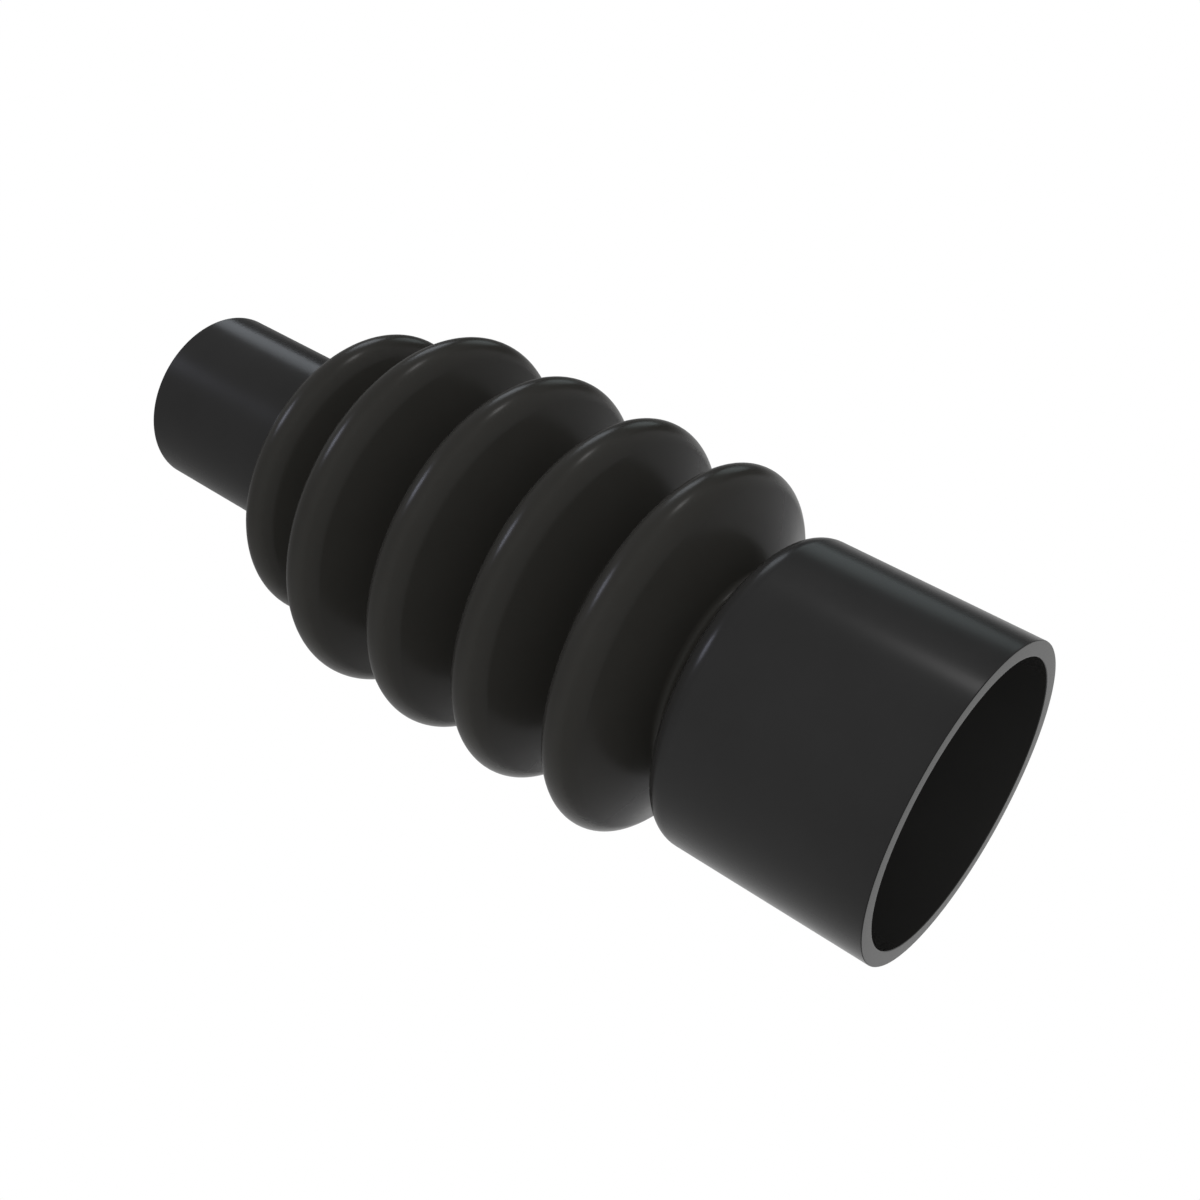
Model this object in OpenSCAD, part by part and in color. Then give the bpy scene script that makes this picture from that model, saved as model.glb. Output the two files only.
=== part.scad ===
// Rubber bellows boot: one moulded piece, turned about the Z axis.
// Z = 0 is the open mouth of the wide cuff, on which the boot stands.
// All sizes are in millimetres.

/* [Wide cuff] */
// Outside diameter of the wide cuff
wide_od = 50; // [46:0.5:54]
// Height of the straight side of the wide cuff, up to its rounded shoulder
wide_side = 32.4; // [26:0.1:33]
// Radius that rounds the shoulder above the wide cuff
shoulder_round = 4; // [3:0.1:4.5]

/* [Narrow cuff] */
// Outside diameter of the narrow cuff
narrow_od = 30; // [26:0.5:34]
// Height of the whole boot, from the mouth to the end of the narrow cuff
height = 150; // [140:0.5:180]

/* [Folds] */
// Number of full-width folds, below the smaller one at the top
full_folds = 4; // [3:1:4]
// Outside diameter of a full-width fold
fold_od = 60; // [58:0.5:66]
// Outside diameter of the smaller fold next to the narrow cuff
top_fold_od = 50; // [46:0.5:54]
// Height of the first crown above the mouth
first_crown = 47.8; // [47:0.1:50]
// Distance from one full-width crown to the next
pitch = 17.1; // [15:0.1:18]
// Distance from the last full-width crown to the crown of the smaller fold
top_pitch = 14.7; // [13.5:0.1:16]
// Radius that rounds the outside of every crown
crown_round = 3.75; // [3.4:0.05:4.2]
// Outside diameter at the bottom of the valleys between the folds
valley_od = 33.5; // [29:0.5:37]
// Radius that rounds the bottom of every valley
valley_round = 1; // [0.6:0.1:1.4]

/* [Wall] */
// Thickness of the rubber, the same in the cuffs and the folds
wall = 2.5; // [1.8:0.1:2.8]

/* [Hidden] */

// How far a straight flank dips into the round corners at its ends, so that it meets them cleanly
lap = 0.002;

// Radius of the valley floors and of the narrow cuff
valley_r = valley_od / 2;
narrow_r = narrow_od / 2;

// Round corners of the outline, from the mouth up. Each is the height of its centre, the distance
// of its centre from the axis, its radius, and whether it bulges outward (1) or inward (-1).
function crown(z, r) = [z, r - crown_round, crown_round, 1];
function valley(z, r) = [z, r + valley_round, valley_round, -1];

shoulder = [wide_side, wide_od / 2 - shoulder_round, shoulder_round, 1];
crowns = concat(
    [for (i = [0 : full_folds - 1]) crown(first_crown + i * pitch, fold_od / 2)],
    [crown(first_crown + (full_folds - 1) * pitch + top_pitch, top_fold_od / 2)]
);
tops = concat([shoulder], crowns);

// The first valley lies half a pitch below the first crown, and the others lie midway between two
// crowns. The last one runs into the narrow cuff, as far above its crown as the one before lies below.
last_top = tops[len(tops) - 1];
floors = concat(
    [valley(first_crown - pitch / 2, valley_r)],
    [for (i = [1 : len(tops) - 2]) valley((tops[i][0] + tops[i + 1][0]) / 2, valley_r)],
    [valley(last_top[0] + top_pitch / 2, narrow_r)]
);
corners = [for (i = [0 : len(tops) - 1]) each [tops[i], floors[i]]];

// Corner i moved inward through the rubber by the distance depth
function bend(i, depth) = let (c = corners[i]) [c[0], c[1], c[2] - c[3] * depth, c[3]];

// Slope of the straight flank from corner i to the next: the angle between its outward normal and
// the horizontal, from the line that touches both round corners
function slope(i) =
    let (a = corners[i], b = corners[i + 1], rise = b[0] - a[0], out = b[1] - a[1])
    a[3] * (asin((a[2] + b[2] - 2 * lap) / norm([rise, out])) - atan2(a[3] * out, rise));

// Point just inside a round corner, by the depth lap, where its outward normal has the given slope
function touch(c, angle) =
    let (reach = c[3] * (c[2] - lap))
    [c[1] + reach * cos(angle), c[0] + reach * sin(angle)];

last_corner = len(corners) - 1;

// Chain of touching points up the outline: where each flank leaves one corner and meets the next
function chain(depth) = [
    for (i = [0 : last_corner - 1]) each [
        touch(bend(i, depth), slope(i)),
        touch(bend(i + 1, depth), slope(i))
    ]
];

// Half section that the outline encloses with the axis, at a depth into the rubber. The ends
// reach past the mouth and the narrow cuff by the given overrun.
module half_section(depth, overrun) {
    foot = bend(0, depth);
    neck = bend(last_corner, depth);
    difference() {
        union() {
            polygon(concat(
                [[0, -overrun], [wide_od / 2 - depth, -overrun], [wide_od / 2 - depth, foot[0]]],
                chain(depth),
                [[narrow_r - depth, neck[0]], [narrow_r - depth, height + overrun], [0, height + overrun]]
            ));
            for (i = [0 : last_corner])
                if (corners[i][3] > 0) round_corner(bend(i, depth));
        }
        for (i = [0 : last_corner])
            if (corners[i][3] < 0) round_corner(bend(i, depth));
    }
}

// Full circle of one round corner
module round_corner(c) {
    translate([c[1], c[0]]) circle(r = c[2], $fn = 96);
}

// The boot: the outline turned about the axis, hollowed by the same outline one wall further in
module bellows_boot() {
    color([0.17, 0.17, 0.165])
        rotate_extrude($fn = 180)
            difference() {
                half_section(0, 0);
                half_section(wall, 1);
            }
}

bellows_boot();
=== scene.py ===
"""Rubber bellows boot: the looks of one moulded black rubber piece and of the studio round it."""

from math import asin, atan2, cos, hypot, pi, radians, sin

import bmesh
import bpy
from bpy.props import FloatProperty, FloatVectorProperty, IntProperty, PointerProperty
from mathutils import Matrix, Vector


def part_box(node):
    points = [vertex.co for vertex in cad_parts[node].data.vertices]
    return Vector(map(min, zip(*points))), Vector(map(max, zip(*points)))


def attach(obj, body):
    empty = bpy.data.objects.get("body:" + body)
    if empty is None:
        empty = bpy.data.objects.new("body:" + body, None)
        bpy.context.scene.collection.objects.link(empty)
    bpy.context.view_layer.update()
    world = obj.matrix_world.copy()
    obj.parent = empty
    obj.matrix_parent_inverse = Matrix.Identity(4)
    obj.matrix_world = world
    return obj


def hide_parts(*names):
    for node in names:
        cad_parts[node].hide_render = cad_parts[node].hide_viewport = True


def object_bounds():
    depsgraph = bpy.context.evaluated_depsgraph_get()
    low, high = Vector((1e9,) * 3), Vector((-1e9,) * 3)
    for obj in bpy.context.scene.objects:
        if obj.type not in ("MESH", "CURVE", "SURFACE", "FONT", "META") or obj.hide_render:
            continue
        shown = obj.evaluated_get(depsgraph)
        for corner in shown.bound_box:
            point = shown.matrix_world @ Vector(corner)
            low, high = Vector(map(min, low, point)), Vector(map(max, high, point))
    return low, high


bl_info = {
    "name": "Rubber Bellows Boot",
    "version": (1, 0, 0),
    "blender": (4, 5, 0),
    "location": "3D View > Sidebar > Boot",
    "description": "Moulded rubber bellows boot and its studio",
    "category": "Add Mesh",
}

MM = 0.001
NODE = "bellows_boot"

# The fewest steps that a round corner is drawn in, however little it turns
LEAST_STEPS = 3

# Sockets of a Mix node that mixes two colours
FACTOR, COLOUR_A, COLOUR_B, MIXED = 0, 6, 7, 2

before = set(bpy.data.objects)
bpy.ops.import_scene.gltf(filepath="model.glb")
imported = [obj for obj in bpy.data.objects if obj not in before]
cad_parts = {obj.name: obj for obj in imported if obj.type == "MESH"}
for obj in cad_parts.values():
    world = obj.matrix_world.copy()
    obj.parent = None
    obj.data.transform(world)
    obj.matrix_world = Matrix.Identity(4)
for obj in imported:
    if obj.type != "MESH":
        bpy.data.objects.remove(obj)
cad_low, cad_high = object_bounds()
node_low, node_high = (Vector(corner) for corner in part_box(NODE))


def linear(code):
    """sRGB hex colour such as "e8e6e1" as the linear RGB that Blender works in."""
    channels = (int(code[i : i + 2], 16) / 255 for i in (0, 2, 4))
    return tuple(c / 12.92 if c <= 0.04045 else ((c + 0.055) / 1.055) ** 2.4 for c in channels)


def length(name, description, millimetres):
    """A length that the user sees in the scene's own unit."""
    return FloatProperty(
        name=name,
        description=description,
        default=millimetres * MM,
        min=0,
        unit="LENGTH",
        precision=5,
    )


def share(name, description, default):
    """A number from 0 to 1."""
    return FloatProperty(
        name=name,
        description=description,
        default=default,
        min=0,
        max=1,
        subtype="FACTOR",
    )


def count(name, description, default, least):
    """A whole number that never goes below the least one that works."""
    return IntProperty(name=name, description=description, default=default, min=least)


def tint(name, description, code):
    """A colour property that starts from an sRGB hex code."""
    return FloatVectorProperty(
        name=name,
        description=description,
        default=linear(code),
        size=3,
        min=0,
        max=1,
        subtype="COLOR",
    )


# ---- Sizes and colours ----


class BootSizes(bpy.types.PropertyGroup):
    wide_od: length("Wide cuff", "Outside diameter of the wide cuff", 50)
    wide_side: length("Wide cuff side", "Height of the straight side of the wide cuff", 32.4)
    shoulder_round: length("Shoulder", "Radius that rounds the shoulder above the wide cuff", 4)
    narrow_od: length("Narrow cuff", "Outside diameter of the narrow cuff", 30)
    height: FloatProperty(
        name="Height",
        description="Height of the whole boot",
        default=node_high.z - node_low.z,
        unit="LENGTH",
    )
    full_folds: count("Full folds", "Folds of the full width", 4, 1)
    fold_od: length("Fold", "Outside diameter of a full-width fold", 60)
    top_fold_od: length("Top fold", "Outside diameter of the fold next to the narrow cuff", 50)
    first_crown: length("First crown", "Height of the first crown above the mouth", 47.8)
    pitch: length("Pitch", "Distance from one full-width crown to the next", 17.1)
    top_pitch: length("Top pitch", "Distance from the last full-width crown to the top one", 14.7)
    crown_round: length("Crown", "Radius that rounds the outside of every crown", 3.75)
    valley_od: length("Valley", "Outside diameter at the bottom of the valleys", 33.5)
    valley_round: length("Valley floor", "Radius that rounds the bottom of every valley", 1)
    wall: length("Wall", "Thickness of the rubber", 2.5)
    edge_round: length("Edge", "Radius of the trimmed edges at both ends", 0.15)
    turn_steps: count("Steps round", "Steps round the axis", 256, 32)
    outer_steps: count("Outer steps", "Steps that half a turn of an outside corner takes", 30, 4)
    inner_steps: count("Inner steps", "Steps that half a turn of an inside corner takes", 8, 4)
    edge_steps: count("Edge steps", "Steps across a trimmed edge", 3, 1)


class BootFinish(bpy.types.PropertyGroup):
    # The folds' rubber colour is partly the rubber's own and partly painted warm light from the
    # valleys
    rubber: tint("Rubber", "Colour of the moulded rubber on the folds", "2b2a27")
    rubber_pale: tint("Pale rubber", "Colour where the moulded skin is a little paler", "302f2c")
    # Painted light: the cuff tint is multiplied over the cuffs and fades out beside them, painting
    # them darker and cooler than the folds
    cuff: tint("Cuff tint", "Tint that makes the cuffs a little darker and cooler", "eff2fc")
    painted_light_fade: length("Cuff fade", "Distance beside each cuff over which its tint fades", 5)
    patch: length("Patches", "Size of the cloudy patches in the rubber", 12)
    grain: length("Grain", "Size of the grain in the skin", 0.5)
    grain_depth: length("Grain depth", "Depth of the grain in the skin", 0.01)
    sleek: share("Sleek", "Roughness where the skin is smoothest", 0.2)
    dull: share("Dull", "Roughness where the skin is dullest", 0.26)
    refraction: FloatProperty(
        name="Refraction",
        description="Refraction value, matched to how weakly the rubber mirrors",
        default=1.17,
        min=1,
        subtype="NONE",
    )


class BootStudio(bpy.types.PropertyGroup):
    floor: tint("Floor", "Colour of the pale floor", "efeeec")
    floor_fade: length("Floor fade", "Distance at which the floor starts to fade", 315)
    floor_reach: length("Floor radius", "Distance at which the floor has faded out", 900)
    floor_lift: length("Floor height", "Height of the floor above the mouth's rim", 0.02)
    floor_steps: count("Floor steps", "Steps round the floor", 128, 32)
    surround: tint("Surround", "Plain light that the studio walls shed on everything", "cccccc")
    ceiling: tint("Ceiling", "Colour of the dark ceiling that the rubber mirrors", "909090")
    screen: tint("Screen", "Colour of the dark screen that the rubber mirrors", "303030")
    canopy_reach: length("Canopy radius", "Distance of the ceiling and the screen", 4000)
    lamp_reach: length("Lamp distance", "Distance of the lamps from the middle of the boot", 3000)


# ---- Shared helpers ----


def add(tree, kind, feeds=(), **settings):
    """Adds one node. Settings name its attributes or its input sockets, and feeds link an output
    to an input."""
    node = tree.nodes.new(kind)
    for key, value in settings.items():
        if hasattr(node, key):
            setattr(node, key, value)
        else:
            node.inputs[key.replace("_", " ")].default_value = value
    for source, target in feeds:
        tree.links.new(source, node.inputs[target])
    return node


def material(name):
    """An empty node material of that name."""
    made = bpy.data.materials.new(name)
    made.use_nodes = True
    made.node_tree.nodes.clear()
    return made


def turn(bm, steps):
    """Spins all that is drawn once round the Z axis."""
    bmesh.ops.spin(
        bm,
        geom=bm.verts[:] + bm.edges[:],
        cent=(0, 0, 0),
        axis=(0, 0, 1),
        angle=2 * pi,
        steps=steps,
        use_merge=True,
        use_normal_flip=False,
        use_duplicate=False,
    )


def put(bm, name):
    """Writes a bmesh to a new object that stands at the origin."""
    mesh = bpy.data.meshes.new(name)
    bm.to_mesh(mesh)
    bm.free()
    piece = bpy.data.objects.new(name, mesh)
    bpy.context.scene.collection.objects.link(piece)
    return piece


# ---- Boot ----


def moulded_rubber(finish, sizes):
    """Compression-moulded nitrile rubber, black with carbon: a satin skin off a polished mould,
    with a soft even gloss that turns bright only at a grazing angle. Painted light: the cuffs are
    painted a little darker and cooler than the folds, and the folds warmer and paler, standing in
    for the cooler light on the cuffs and the warm light in the valleys."""
    made = material("moulded nitrile rubber")
    tree = made.node_tree
    place = add(tree, "ShaderNodeTexCoord").outputs["Object"]

    # Flow of the rubber in the mould, in cloudy patches
    flow = add(
        tree,
        "ShaderNodeTexNoise",
        [(place, "Vector")],
        Scale=1 / finish.patch,
        Detail=3.0,
        Roughness=0.55,
    ).outputs["Fac"]
    # Grain that the mould leaves on the skin, drawn coarser than the real one so that it shows
    skin = add(
        tree,
        "ShaderNodeTexNoise",
        [(place, "Vector")],
        Scale=1 / finish.grain,
        Detail=2.0,
        Roughness=0.5,
    ).outputs["Fac"]
    patchy = add(tree, "ShaderNodeMix", [(flow, FACTOR)], data_type="RGBA")
    patchy.inputs[COLOUR_A].default_value = (*finish.rubber, 1)
    patchy.inputs[COLOUR_B].default_value = (*finish.rubber_pale, 1)

    # The painted light, a cool tint that darkens, is full on each cuff and fades out over a short
    # distance into what lies beside it, which is upward from the wide cuff and downward from the
    # narrow one
    height = add(tree, "ShaderNodeSeparateXYZ", [(place, 0)]).outputs["Z"]
    corners = round_corners(sizes, 0)
    painted_light_ramps = [
        add(
            tree,
            "ShaderNodeMapRange",
            [(height, 0)],
            interpolation_type="SMOOTHSTEP",
            From_Min=cuff_end + way * finish.painted_light_fade,
            From_Max=cuff_end,
        ).outputs[0]
        for cuff_end, way in ((corners[0][0], 1), (corners[-1][0], -1))
    ]
    # Mask of the painted cool, darker light: full on the cuffs and nothing on the folds
    feeds = [(painted_light_ramps[0], 0), (painted_light_ramps[1], 1)]
    cuffs = add(tree, "ShaderNodeMath", feeds, operation="MAXIMUM").outputs[0]
    feeds = [(cuffs, FACTOR), (patchy.outputs[MIXED], COLOUR_A)]
    colour = add(tree, "ShaderNodeMix", feeds, data_type="RGBA", blend_type="MULTIPLY")
    colour.inputs[COLOUR_B].default_value = (*finish.cuff, 1)

    feeds = [(flow, 0)]
    gloss = add(tree, "ShaderNodeMapRange", feeds, To_Min=finish.sleek, To_Max=finish.dull)
    feeds = [(skin, "Height")]
    relief = add(tree, "ShaderNodeBump", feeds, Strength=0.1, Distance=finish.grain_depth)
    feeds = [
        (colour.outputs[MIXED], "Base Color"),
        (gloss.outputs[0], "Roughness"),
        (relief.outputs[0], "Normal"),
    ]
    surface = add(tree, "ShaderNodeBsdfPrincipled", feeds, IOR=finish.refraction)
    add(tree, "ShaderNodeOutputMaterial", [(surface.outputs[0], "Surface")])
    return made


def round_corners(sizes, depth):
    """Round corners of the outline from the mouth up, moved inward through the rubber by the given
    depth. Each is the height of its centre, its distance from the axis, its radius, and 1 if it
    bulges outward or -1 if inward."""
    valley_r, full = sizes.valley_od / 2, sizes.full_folds
    heights = [sizes.first_crown + i * sizes.pitch for i in range(full)]
    heights.append(heights[-1] + sizes.top_pitch)
    radii = [sizes.fold_od / 2] * full + [sizes.top_fold_od / 2]
    shoulder_r = sizes.wide_od / 2 - sizes.shoulder_round
    tops = [(sizes.wide_side, shoulder_r, sizes.shoulder_round, 1)]
    tops += [(z, r - sizes.crown_round, sizes.crown_round, 1) for z, r in zip(heights, radii)]
    floors = [(sizes.first_crown - sizes.pitch / 2, valley_r)]
    floors += [((a + b) / 2, valley_r) for a, b in zip(heights[:-1], heights[1:])]
    floors += [(heights[-1] + sizes.top_pitch / 2, sizes.narrow_od / 2)]
    corners = []
    for top, (z, r) in zip(tops, floors):
        corners += [top, (z, r + sizes.valley_round, sizes.valley_round, -1)]
    return [(z, r, radius - way * depth, way) for z, r, radius, way in corners]


def flank_slopes(corners):
    """Angle between the horizontal and the outward normal of each straight flank between two round
    corners."""
    slopes = []
    for (z0, r0, c0, way), (z1, r1, c1, _) in zip(corners[:-1], corners[1:]):
        rise, out = z1 - z0, r1 - r0
        slopes.append(way * (asin((c0 + c1) / hypot(rise, out)) - atan2(way * out, rise)))
    return slopes


def draw_outline(bm, sizes, depth, steps):
    """Draws one outline of the wall in the XZ plane: each round corner is a vertex spun about the
    corner's centre, and a straight edge joins it to the next. Returns the vertices at the mouth
    and at the narrow end."""
    corners = round_corners(sizes, depth)
    slopes = [0.0, *flank_slopes(corners), 0.0]
    start = last = bm.verts.new((sizes.wide_od / 2 - depth, 0, 0))
    for (z, r, radius, way), before, after in zip(corners, slopes[:-1], slopes[1:]):
        reach = way * radius
        touch = bm.verts.new((r + reach * cos(before), 0, z + reach * sin(before)))
        bm.edges.new((last, touch))
        turned = bmesh.ops.spin(
            bm,
            geom=[touch],
            cent=(r, 0, z),
            axis=(0, 1, 0),
            angle=before - after,
            steps=max(LEAST_STEPS, round(steps * abs(after - before) / pi)),
            use_merge=False,
            use_normal_flip=False,
            use_duplicate=False,
        )
        last = next(v for v in turned["geom_last"] if isinstance(v, bmesh.types.BMVert))
    end = bm.verts.new((sizes.narrow_od / 2 - depth, 0, sizes.height))
    bm.edges.new((last, end))
    return start, end


class OBJECT_OT_bellows_boot(bpy.types.Operator):
    """Spin the moulded boot from the outline of its wall"""

    bl_idname = "object.bellows_boot"
    bl_label = "Bellows Boot"
    bl_options = {"REGISTER", "UNDO"}

    def execute(self, context):
        sizes = context.scene.boot_sizes
        bm = bmesh.new()
        outer = draw_outline(bm, sizes, 0, sizes.outer_steps)
        inner = draw_outline(bm, sizes, sizes.wall, sizes.inner_steps)
        for a, b in zip(outer, inner):
            bm.edges.new((a, b))
        turn(bm, sizes.turn_steps)
        bmesh.ops.remove_doubles(bm, verts=bm.verts[:], dist=0.001 * MM)
        bmesh.ops.recalc_face_normals(bm, faces=bm.faces[:])

        # Only the edges of the rims at both ends are as sharp as this
        rim_angle = radians(60)
        rims = [e for e in bm.edges if e.is_manifold and e.calc_face_angle() > rim_angle]
        bmesh.ops.bevel(
            bm,
            geom=rims,
            affect="EDGES",
            offset=sizes.edge_round,
            offset_type="OFFSET",
            segments=sizes.edge_steps,
            profile=0.5,
            material=-1,
        )
        for face in bm.faces:
            face.smooth = True
        boot = put(bm, "moulded_boot")
        boot.data.set_sharp_from_angle(angle=radians(50))
        # The wide faces rule the shading, so that straight sides and flanks reflect as straight
        shading = boot.modifiers.new("weighted normals", "WEIGHTED_NORMAL")
        shading.mode, shading.keep_sharp = "FACE_AREA", True
        boot.data.materials.append(moulded_rubber(context.scene.boot_finish, sizes))
        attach(boot, "root")
        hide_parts(NODE)
        return {"FINISHED"}


# ---- Studio ----


def surroundings(studio):
    """Pale studio walls: plain white where they are seen, mirrored or looked through to, and a
    plain light."""
    world = bpy.data.worlds.new("studio")
    bpy.context.scene.world = world
    world.use_nodes = True
    tree = world.node_tree
    tree.nodes.clear()
    rays = add(tree, "ShaderNodeLightPath").outputs
    walls = add(tree, "ShaderNodeBackground", Color=(*studio.surround, 1), Strength=1.0)
    white = add(tree, "ShaderNodeBackground", Color=(1, 1, 1, 1), Strength=1.0)
    shown = rays["Is Camera Ray"]
    for ray in ("Is Glossy Ray", "Is Transmission Ray"):
        feeds = [(shown, 0), (rays[ray], 1)]
        shown = add(tree, "ShaderNodeMath", feeds, operation="MAXIMUM").outputs[0]
    feeds = [(shown, 0), (walls.outputs[0], 1), (white.outputs[0], 2)]
    seen = add(tree, "ShaderNodeMixShader", feeds)
    add(tree, "ShaderNodeOutputWorld", [(seen.outputs[0], "Surface")])


def pale_floor(studio):
    """Matt white studio board, seen from above only and fading out into the white walls."""
    made = material("matt white board")
    tree = made.node_tree
    place = add(tree, "ShaderNodeTexCoord").outputs["Object"]
    away = add(tree, "ShaderNodeVectorMath", [(place, 0)], operation="LENGTH")
    faded = add(
        tree,
        "ShaderNodeMapRange",
        [(away.outputs["Value"], 0)],
        interpolation_type="SMOOTHSTEP",
        From_Min=studio.floor_fade,
        From_Max=studio.floor_reach,
    )
    under = add(tree, "ShaderNodeNewGeometry").outputs["Backfacing"]
    feeds = [(faded.outputs[0], 0), (under, 1)]
    gone = add(tree, "ShaderNodeMath", feeds, operation="MAXIMUM")
    board = add(tree, "ShaderNodeBsdfPrincipled", Base_Color=(*studio.floor, 1), Roughness=0.9)
    clear = add(tree, "ShaderNodeBsdfTransparent")
    feeds = [(gone.outputs[0], 0), (board.outputs[0], 1), (clear.outputs[0], 2)]
    shown = add(tree, "ShaderNodeMixShader", feeds)
    add(tree, "ShaderNodeOutputMaterial", [(shown.outputs[0], "Surface")])
    return made


def canopy_cloth(studio):
    """Grey cloth of the studio's canopy: dark overhead, darkest at a screen on one side, and
    fading out to nothing toward the pale walls."""
    made = material("grey canopy cloth")
    tree = made.node_tree
    place = add(tree, "ShaderNodeTexCoord").outputs["Object"]
    reach = studio.canopy_reach

    # The ceiling hangs lower on the side of the screen: its middle leans that way. It starts at
    # the height of the mouth and is full well up.
    lean, full = radians(13), radians(50)
    height = add(tree, "ShaderNodeVectorMath", [(place, 0)], operation="DOT_PRODUCT")
    height.inputs[1].default_value = (sin(lean), 0, cos(lean))
    overhead = add(
        tree,
        "ShaderNodeMapRange",
        [(height.outputs["Value"], 0)],
        interpolation_type="SMOOTHSTEP",
        From_Min=0,
        From_Max=reach * sin(full),
    )

    # The screen is twice as tall as it is wide. Its middle, core and edge are shares of the reach.
    squat, middle, core, edge = (1, 1, 0.5), Vector((0.82, 0.47, 0.21)), 0.25, 0.6
    squashed = add(tree, "ShaderNodeVectorMath", [(place, 0)], operation="MULTIPLY")
    squashed.inputs[1].default_value = squat
    feeds = [(squashed.outputs["Vector"], 0)]
    off_screen = add(tree, "ShaderNodeVectorMath", feeds, operation="DISTANCE")
    off_screen.inputs[1].default_value = reach * middle
    beside = add(
        tree,
        "ShaderNodeMapRange",
        [(off_screen.outputs["Value"], 0)],
        interpolation_type="SMOOTHSTEP",
        From_Min=reach * edge,
        From_Max=reach * core,
    )

    over = add(tree, "ShaderNodeEmission", Color=(*studio.ceiling, 1))
    side = add(tree, "ShaderNodeEmission", Color=(*studio.screen, 1))
    clear = add(tree, "ShaderNodeBsdfTransparent")
    feeds = [(overhead.outputs[0], 0), (clear.outputs[0], 1), (over.outputs[0], 2)]
    open_air = add(tree, "ShaderNodeMixShader", feeds)
    feeds = [(beside.outputs[0], 0), (open_air.outputs[0], 1), (side.outputs[0], 2)]
    cloth = add(tree, "ShaderNodeMixShader", feeds)
    add(tree, "ShaderNodeOutputMaterial", [(cloth.outputs[0], "Surface")])
    return made


def lay_floor(studio, sizes):
    """Round board that the boot stands through. Its hole lets light in at the mouth."""
    bm = bmesh.new()
    inside = (sizes.wide_od - sizes.wall) / 2
    bm.edges.new([bm.verts.new((r, 0, studio.floor_lift)) for r in (inside, studio.floor_reach)])
    turn(bm, studio.floor_steps)
    faces = bm.faces[:]
    bmesh.ops.recalc_face_normals(bm, faces=faces)
    if faces[0].normal.z < 0:
        bmesh.ops.reverse_faces(bm, faces=faces)
    board = put(bm, "floor")
    board.data.materials.append(pale_floor(studio))


def hang_canopy(studio):
    """Canopy that shows in the rubber alone: it casts no light and no shadow."""
    bm = bmesh.new()
    bmesh.ops.create_icosphere(bm, subdivisions=5, radius=studio.canopy_reach)
    bmesh.ops.reverse_faces(bm, faces=bm.faces[:])
    canopy = put(bm, "canopy")
    canopy.data.materials.append(canopy_cloth(studio))
    canopy.visible_camera = canopy.visible_diffuse = canopy.visible_shadow = False


def lamp(name, direction, reach, size, watts, code):
    """A soft round lamp that shines at the middle of the boot from a direction in its frame."""
    data = bpy.data.lights.new(name, "AREA")
    data.shape, data.size, data.energy, data.color = "DISK", size, watts, linear(code)
    made = bpy.data.objects.new(name, data)
    away = Vector(direction).normalized()
    place = Matrix.Translation((cad_low + cad_high) / 2 + reach * away)
    made.matrix_world = place @ away.to_track_quat("Z", "Y").to_matrix().to_4x4()
    bpy.context.scene.collection.objects.link(made)
    return made


def hang_lamps(reach):
    """Lamps in the places and of the widths that the streaks on the rubber show, and a fill."""
    lamp("overhead lamp", (0.125, -0.53, 0.84), reach, size=0.8, watts=22.0, code="e4e8ff")
    lamp("side lamp", (0.72, 0.19, 0.67), reach, size=1.0, watts=7.5, code="eef6ff")
    lamp("low side lamp", (0.93, -0.32, 0.18), reach, size=0.5, watts=9.6, code="ffffff")
    lamp("rear panel", (0.81, 0.49, 0.34), reach, size=1.0, watts=3.0, code="e4f4f6")
    # The fill reaches into the valleys from the camera's side, and the rubber doesn't mirror it
    fill = lamp("fill", (0, -0.87, -0.5), reach, size=1.2, watts=17.0, code="ffffff")
    fill.visible_glossy = fill.data.use_shadow = False


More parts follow.
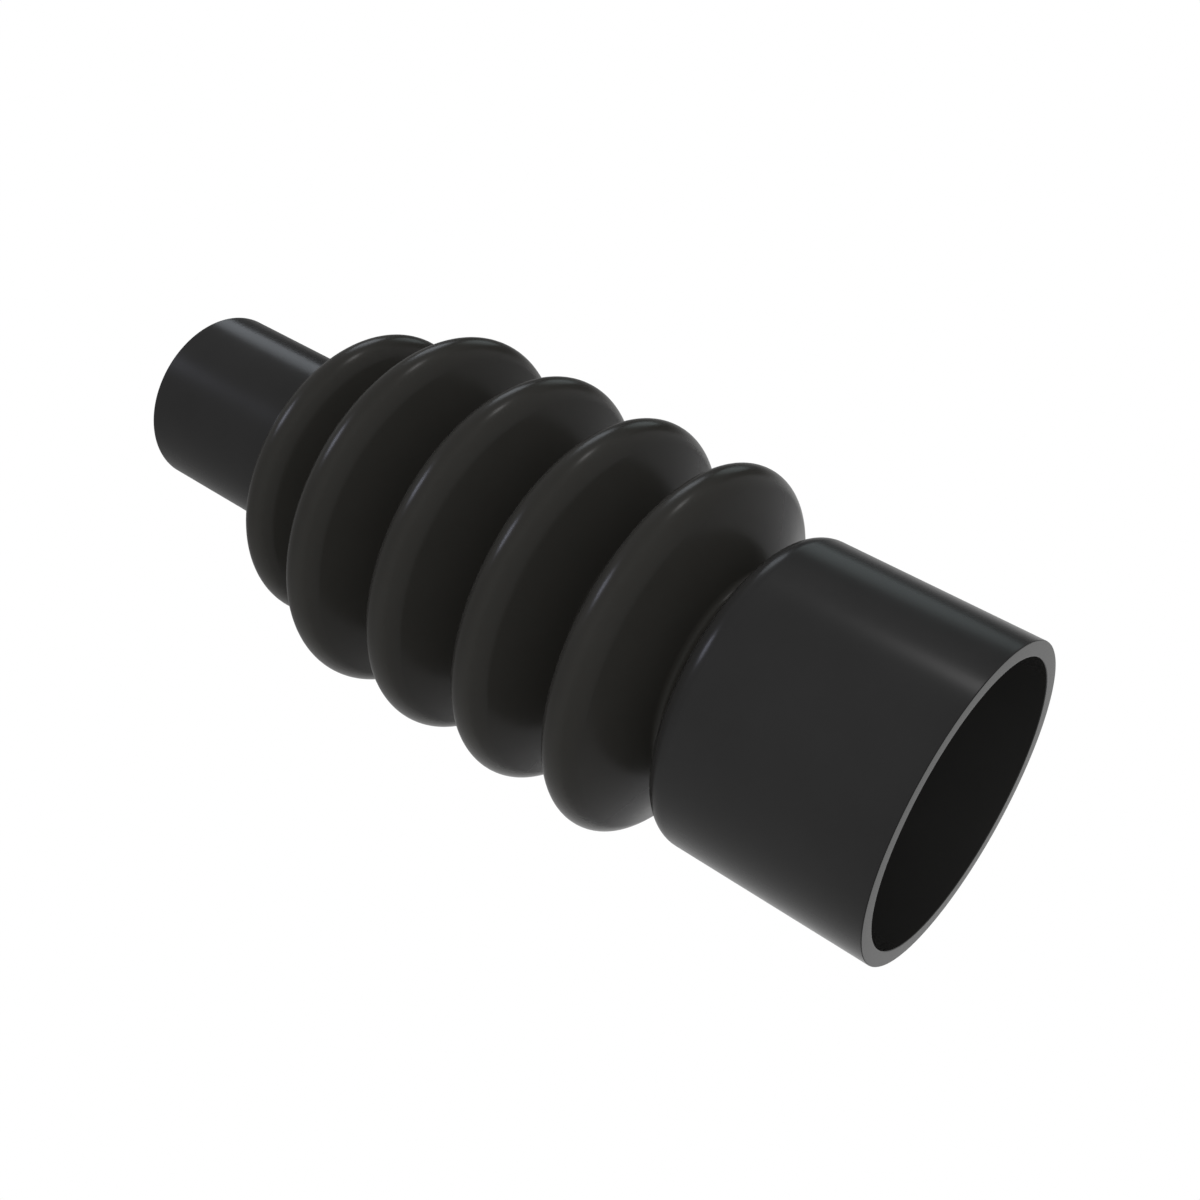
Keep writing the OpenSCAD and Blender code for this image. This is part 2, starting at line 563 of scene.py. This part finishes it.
def place_camera(scene):
    """Camera of the photograph, solved from the two circles of the mouth and the silhouette."""
    lens = bpy.data.cameras.new("camera")
    lens.sensor_fit, lens.sensor_width, lens.lens = "HORIZONTAL", 36, 49.478
    lens.clip_start, lens.clip_end = 0.005, 10
    camera = bpy.data.objects.new("camera", lens)
    camera.location = (0, -0.22427, -0.05375)
    camera.rotation_euler = (radians(137.488), radians(50.959), radians(40.056))
    scene.collection.objects.link(camera)
    scene.camera = camera


class SCENE_OT_boot_studio(bpy.types.Operator):
    """Set up the camera, the pale floor, the studio walls and the lamps"""

    bl_idname = "scene.boot_studio"
    bl_label = "Studio"
    bl_options = {"REGISTER", "UNDO"}

    def execute(self, context):
        scene = context.scene
        studio = scene.boot_studio
        surroundings(studio)
        lay_floor(studio, scene.boot_sizes)
        hang_canopy(studio)
        hang_lamps(studio.lamp_reach)
        place_camera(scene)
        scene.view_settings.view_transform = "Standard"
        return {"FINISHED"}


# ---- Panel and registration ----


class VIEW3D_PT_bellows_boot(bpy.types.Panel):
    """Sizes and colours of the boot, and the operators that make it"""

    bl_label = "Rubber Bellows Boot"
    bl_space_type = "VIEW_3D"
    bl_region_type = "UI"
    bl_category = "Boot"

    def draw(self, context):
        scene = context.scene
        for group in (scene.boot_sizes, scene.boot_finish, scene.boot_studio):
            box = self.layout.box()
            for name in group.__annotations__:
                box.prop(group, name)
        self.layout.operator("object.bellows_boot")
        self.layout.operator("scene.boot_studio")


CLASSES = (
    BootSizes,
    BootFinish,
    BootStudio,
    OBJECT_OT_bellows_boot,
    SCENE_OT_boot_studio,
    VIEW3D_PT_bellows_boot,
)


def register():
    for cls in CLASSES:
        bpy.utils.register_class(cls)
    bpy.types.Scene.boot_sizes = PointerProperty(type=BootSizes)
    bpy.types.Scene.boot_finish = PointerProperty(type=BootFinish)
    bpy.types.Scene.boot_studio = PointerProperty(type=BootStudio)


def unregister():
    del bpy.types.Scene.boot_studio, bpy.types.Scene.boot_finish, bpy.types.Scene.boot_sizes
    for cls in reversed(CLASSES):
        bpy.utils.unregister_class(cls)


def main():
    register()
    bpy.ops.object.bellows_boot()
    bpy.ops.scene.boot_studio()


if __name__ == "__main__":
    main()
